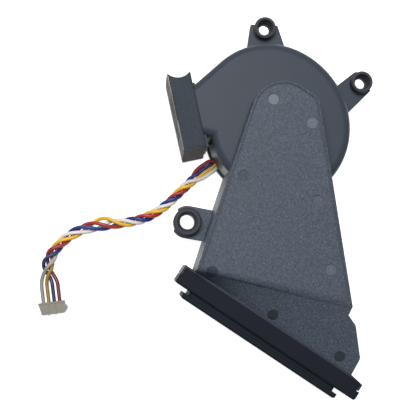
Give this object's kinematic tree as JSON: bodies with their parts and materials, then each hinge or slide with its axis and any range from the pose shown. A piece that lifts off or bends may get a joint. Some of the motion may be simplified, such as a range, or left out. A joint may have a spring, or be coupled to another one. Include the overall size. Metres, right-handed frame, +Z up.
{
  "type": "suction fan module",
  "caption": "Suction fan module for a floor-cleaning robot: brushless blower in a snail-shaped housing, wedge inlet duct with a sealed mouth, rubber-isolated ears and a wired plug.",
  "frame": {"origin": "on the flat underside, on the impeller's axis", "axes": "+Z up along the impeller's axis; -Y out of the inlet mouth; +X along the mouth"},
  "size_m": [0.12, 0.1412, 0.0335],
  "materials": {
    "housing_plastic": "moulded, lightly textured dark grey",
    "duct_plastic": "moulded, spark-textured dark grey",
    "seal_rubber": "soft black rubber",
    "seal_foam": "closed-cell foam, dark grey",
    "steel": "bright steel",
    "brass_bush": "turned brass",
    "core_steel": "stacked electrical steel",
    "copper_wire": "enamelled copper wire",
    "magnet": "bonded ferrite",
    "insulator_plastic": "natural nylon",
    "board_green": "green solder mask",
    "chip_black": "black epoxy",
    "impeller_plastic": "glass-filled nylon",
    "lead_wires": "PVC insulation in four colours",
    "plug_plastic": "off-white nylon",
    "contact_tin": "tinned bronze"
  },
  "bodies": {
    "housing": {"base_shell": "housing_plastic", "scroll_shell": "housing_plastic", "duct_shell": "duct_plastic", "mouth_seal": "seal_rubber", "outlet_seal": "seal_foam", "grommet_upper": "seal_rubber", "grommet_right": "seal_rubber", "grommet_left": "seal_rubber", "housing_screws": "steel", "motor_plate": "steel", "motor_board": "board_green", "board_parts": "chip_black", "bearing_holder": "brass_bush", "bearing_lower": "steel", "bearing_upper": "steel", "stator_core": "core_steel", "insulator_lower": "insulator_plastic", "insulator_upper": "insulator_plastic", "windings": "copper_wire", "lead": "lead_wires", "plug_housing": "plug_plastic", "plug_contacts": "contact_tin"},
    "rotor": {"impeller": "impeller_plastic", "impeller_shroud": "impeller_plastic", "rotor_yoke": "steel", "magnet_ring": "magnet", "shaft": "steel", "spacer_washer": "steel", "retaining_clip": "steel", "bearing_inner_races": "steel"}
  },
  "joints": [
    {"name": "impeller_spin", "type": "hinge", "parent": "housing", "child": "rotor", "pos_m": [0, 0, 0.015], "axis": [0, 0, 1], "continuous": true}
  ]
}
